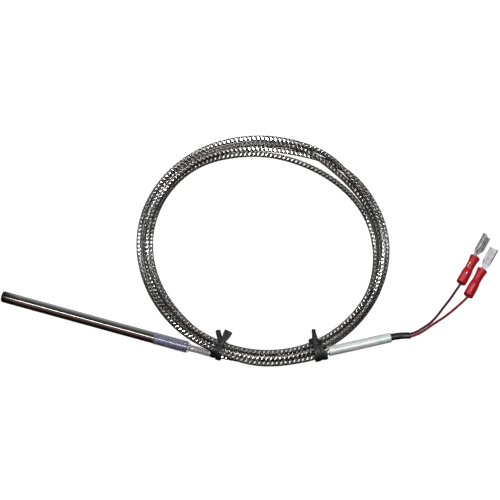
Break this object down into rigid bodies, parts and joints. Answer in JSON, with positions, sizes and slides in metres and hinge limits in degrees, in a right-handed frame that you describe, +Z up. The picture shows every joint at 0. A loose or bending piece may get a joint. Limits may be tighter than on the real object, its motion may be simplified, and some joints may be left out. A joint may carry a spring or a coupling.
{
  "type": "thermocouple",
  "caption": "Thermocouple with a straight steel sheath, a clear strain relief, a coiled braided lead held by twist ties, and push-on receptacles on its wires.",
  "frame": {"origin": "on the surface that the thermocouple lies on, below the middle of the sheath and its strain relief", "axes": "+X along the probe from its closed tip towards the lead, +Z up from the surface"},
  "size_m": [0.184, 0.1017, 0.0082],
  "materials": {
    "polished_steel": "polished stainless tube, fine lengthwise drawing lines",
    "weld": "heat-darkened weld",
    "braid": "fine stainless wire braid",
    "thermo_alloy": "drawn alloy wire, lightly oxidised",
    "ceramic": "unglazed insulator",
    "epoxy": "potting compound",
    "clear_shrink": "clear shrunk tubing, slightly bluish",
    "tie_plastic": "black plastic ribbon",
    "marker_white": "satin white marker tubing",
    "boot_black": "black shrunk tubing",
    "wire_purple": "dark purple-brown insulation",
    "wire_maroon": "dark red insulation",
    "tinned_brass": "tin-plated stamping",
    "copper": "bare copper strands",
    "red_vinyl": "red vinyl"
  },
  "bodies": {
    "thermocouple": {"sheath_tube": "polished_steel", "tip_plug": "weld", "hot_junction": "weld", "thermoelement_positive": "thermo_alloy", "thermoelement_negative": "thermo_alloy", "insulator_bead_1": "ceramic", "insulator_bead_2": "ceramic", "insulator_bead_3": "ceramic", "insulator_bead_4": "ceramic", "insulator_bead_5": "ceramic", "insulator_bead_6": "ceramic", "splice_ferrule_positive": "tinned_brass", "splice_ferrule_negative": "tinned_brass", "lead_core_positive": "wire_purple", "lead_core_negative": "wire_maroon", "potting_seal": "epoxy", "rear_bush": "tinned_brass", "strain_relief_sleeve": "clear_shrink", "lead_probe_end": "braid", "lead_coil": "braid", "lead_tail": "braid", "twist_tie_1": "tie_plastic", "twist_tie_2": "tie_plastic", "shrink_boot": "boot_black", "wire_positive": "wire_purple", "wire_negative": "wire_maroon", "receptacle_positive": "tinned_brass", "insulating_sleeve_positive": "red_vinyl", "crimp_support_positive": "tinned_brass", "conductor_end_positive": "copper", "receptacle_negative": "tinned_brass", "insulating_sleeve_negative": "red_vinyl", "crimp_support_negative": "tinned_brass", "conductor_end_negative": "copper"},
    "marker": {"marker_sleeve": "marker_white"}
  },
  "joints": [
    {"name": "marker_slide", "type": "slide", "parent": "thermocouple", "child": "marker", "axis": [0.8634, 0.5045, 0], "range_m": [0, 0.003]}
  ]
}
